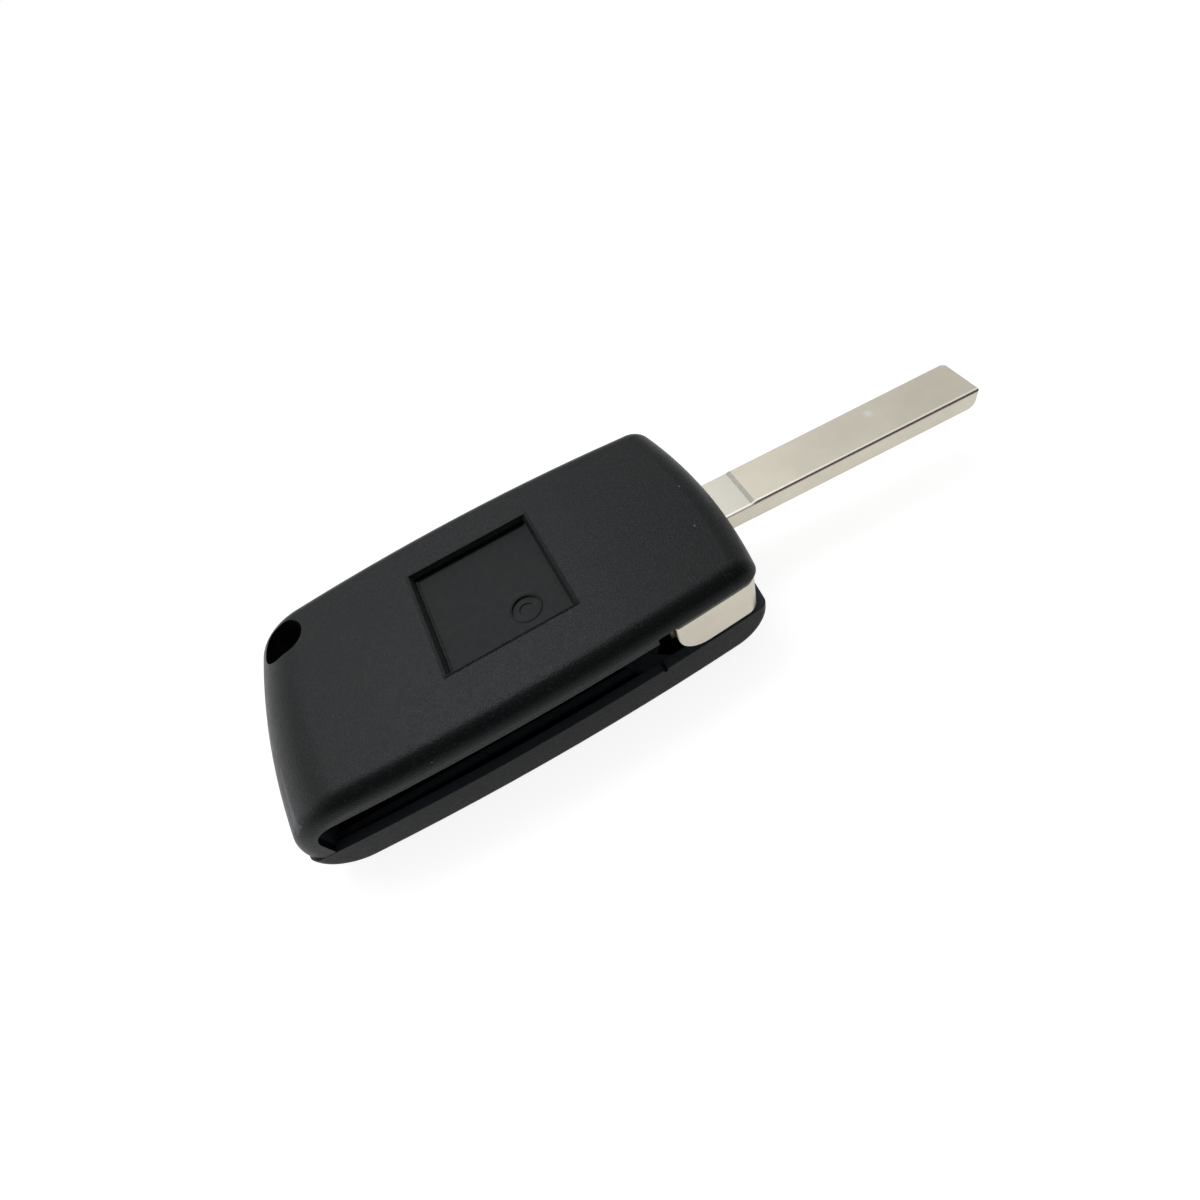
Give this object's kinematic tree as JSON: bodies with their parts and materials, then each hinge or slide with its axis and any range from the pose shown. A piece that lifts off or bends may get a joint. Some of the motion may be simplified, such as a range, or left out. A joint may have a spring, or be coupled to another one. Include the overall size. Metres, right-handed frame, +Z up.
{
  "type": "key fob shell",
  "caption": "Flip key shell: rounded two-part case with key openings and a badge recess, an uncut blade that swings out of its side, and a keyring hole.",
  "frame": {"origin": "middle of the case's plan, on the front face that it rests on", "axes": "+Z up, out of the plain back; +X along the case towards the tip of the open blade; -Y the side that the folded blade lies in"},
  "size_m": [0.1196, 0.0386, 0.0178],
  "materials": {
    "case_plastic": "fine matte texture",
    "nickel": "satin nickel plating",
    "button_chrome": "bright plating",
    "spring_steel": "drawn steel",
    "key_rubber": "fine matte",
    "mat_rubber": "smooth moulded"
  },
  "bodies": {
    "case": {"back_cover": "case_plastic", "front_cover": "case_plastic", "spring_base": "case_plastic", "keypad_mat": "mat_rubber", "battery_contact": "spring_steel"},
    "blade": {"key_blade": "nickel"},
    "button": {"release_button": "button_chrome", "flip_spring": "spring_steel"},
    "unlock": {"unlock_key": "key_rubber"},
    "boot": {"boot_key": "key_rubber"},
    "lock": {"lock_key": "key_rubber"}
  },
  "joints": [
    {"name": "blade_hinge", "type": "hinge", "parent": "case", "child": "blade", "pos_m": [0.0262, -0.0076, 0.0112], "axis": [0, 0, -1], "range_deg": [0, 177.2], "stiffness_Nm_per_rad": 0.01, "springref_deg": -45.84},
    {"name": "button_slide", "type": "slide", "parent": "blade", "child": "button", "axis": [0, 0, 1], "range_m": [0, 0.0016], "stiffness_N_per_m": 800, "springref_m": -0.001, "deforming": ["flip_spring"]},
    {"name": "unlock_slide", "type": "slide", "parent": "case", "child": "unlock", "axis": [0, 0, 1], "range_m": [0, 0.0006], "stiffness_N_per_m": 2000, "springref_m": -0.0001},
    {"name": "boot_slide", "type": "slide", "parent": "case", "child": "boot", "axis": [0, 0, 1], "range_m": [0, 0.0006], "stiffness_N_per_m": 2000, "springref_m": -0.0001},
    {"name": "lock_slide", "type": "slide", "parent": "case", "child": "lock", "axis": [0, 0, 1], "range_m": [0, 0.0006], "stiffness_N_per_m": 2000, "springref_m": -0.0001}
  ]
}
